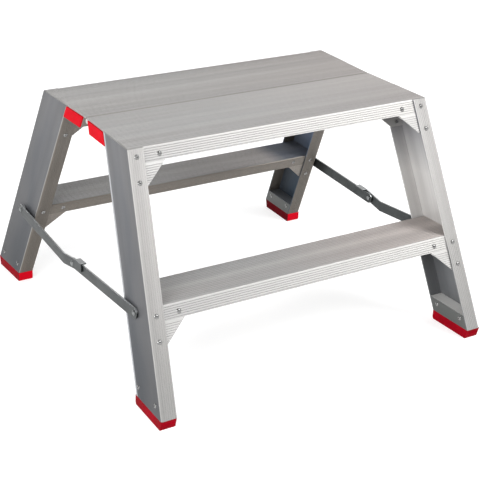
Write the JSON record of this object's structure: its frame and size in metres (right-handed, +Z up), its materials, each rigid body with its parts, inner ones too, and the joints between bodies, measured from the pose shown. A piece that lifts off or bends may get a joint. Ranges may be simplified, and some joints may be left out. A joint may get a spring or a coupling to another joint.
{
  "type": "folding podium step",
  "caption": "Double-sided aluminium platform step: splayed channel-leg frames hinged under the platform, ribbed treads, red plastic feet and locking folding side stays.",
  "frame": {"origin": "on the floor, under the middle of the platform", "axes": "+Z up, X along the treads, +Y from the front frame to the rear frame"},
  "size_m": [0.7702, 0.7984, 0.48],
  "materials": {
    "leg_aluminium": "mill-finish extrusion, grooved flanges",
    "tread_aluminium": "mill-finish extrusion, fine ribs along the tread",
    "gusset_aluminium": "mill-finish extrusion, grooved",
    "sleeve_aluminium": "dull mill-finish box section",
    "rivet_aluminium": "bright domed heads",
    "red_plastic": "satin moulded",
    "zinc_steel": "zinc-plated",
    "pin_steel": "bright zinc"
  },
  "bodies": {
    "rear_frame": {"rear_platform": "tread_aluminium", "rear_step": "tread_aluminium", "rear_platform_rivets": "rivet_aluminium", "rear_step_rivets": "rivet_aluminium", "rear_foot_rivets": "rivet_aluminium", "rear_stay_spacers": "zinc_steel", "rear_stay_pins": "pin_steel", "rear_left_leg": "leg_aluminium", "rear_left_foot": "red_plastic", "rear_left_foot_sleeve": "sleeve_aluminium", "rear_left_end_cap": "red_plastic", "rear_left_platform_outer_gusset": "gusset_aluminium", "rear_left_platform_inner_gusset": "gusset_aluminium", "rear_left_step_outer_gusset": "gusset_aluminium", "rear_left_step_inner_gusset": "gusset_aluminium", "rear_right_leg": "leg_aluminium", "rear_right_foot": "red_plastic", "rear_right_foot_sleeve": "sleeve_aluminium", "rear_right_end_cap": "red_plastic", "rear_right_platform_outer_gusset": "gusset_aluminium", "rear_right_platform_inner_gusset": "gusset_aluminium", "rear_right_step_outer_gusset": "gusset_aluminium", "rear_right_step_inner_gusset": "gusset_aluminium", "hinge_pin": "pin_steel"},
    "front_frame": {"front_platform": "tread_aluminium", "front_step": "tread_aluminium", "front_platform_rivets": "rivet_aluminium", "front_step_rivets": "rivet_aluminium", "front_foot_rivets": "rivet_aluminium", "front_stay_spacers": "zinc_steel", "front_stay_pins": "pin_steel", "front_left_leg": "leg_aluminium", "front_left_foot": "red_plastic", "front_left_foot_sleeve": "sleeve_aluminium", "front_left_end_cap": "red_plastic", "front_left_platform_outer_gusset": "gusset_aluminium", "front_left_platform_inner_gusset": "gusset_aluminium", "front_left_step_outer_gusset": "gusset_aluminium", "front_left_step_inner_gusset": "gusset_aluminium", "front_right_leg": "leg_aluminium", "front_right_foot": "red_plastic", "front_right_foot_sleeve": "sleeve_aluminium", "front_right_end_cap": "red_plastic", "front_right_platform_outer_gusset": "gusset_aluminium", "front_right_platform_inner_gusset": "gusset_aluminium", "front_right_step_outer_gusset": "gusset_aluminium", "front_right_step_inner_gusset": "gusset_aluminium"},
    "left_cranked": {"left_cranked_arm": "zinc_steel", "left_elbow_head": "pin_steel"},
    "left_plain": {"left_plain_arm": "zinc_steel", "left_elbow_tail": "pin_steel"},
    "right_cranked": {"right_cranked_arm": "zinc_steel", "right_elbow_head": "pin_steel"},
    "right_plain": {"right_plain_arm": "zinc_steel", "right_elbow_tail": "pin_steel"}
  },
  "joints": [
    {"name": "fold", "type": "hinge", "parent": "rear_frame", "child": "front_frame", "pos_m": [0, 0, 0.4715], "axis": [1, 0, 0], "range_deg": [0, 63]},
    {"name": "left_plain_pivot", "type": "hinge", "parent": "front_frame", "child": "left_plain", "pos_m": [-0.3735, -0.26989, 0.186], "axis": [1, 0, 0], "range_deg": [0, 44.09]},
    {"name": "right_cranked_pivot", "type": "hinge", "parent": "front_frame", "child": "right_cranked", "pos_m": [0.3765, -0.26989, 0.186], "axis": [1, 0, 0], "range_deg": [0, 44.09]},
    {"name": "left_cranked_pivot", "type": "hinge", "parent": "rear_frame", "child": "left_cranked", "pos_m": [-0.3765, 0.26989, 0.186], "axis": [1, 0, 0], "range_deg": [-44.09, 0]},
    {"name": "right_plain_pivot", "type": "hinge", "parent": "rear_frame", "child": "right_plain", "pos_m": [0.3735, 0.26989, 0.186], "axis": [1, 0, 0], "range_deg": [-44.09, 0]}
  ],
  "couplings": [
    {"joint": "left_plain_pivot", "follows": "fold", "ratio": 0.69907},
    {"joint": "right_cranked_pivot", "follows": "fold", "ratio": 0.69907},
    {"joint": "left_cranked_pivot", "follows": "fold", "ratio": -0.69907},
    {"joint": "right_plain_pivot", "follows": "fold", "ratio": -0.69907}
  ]
}
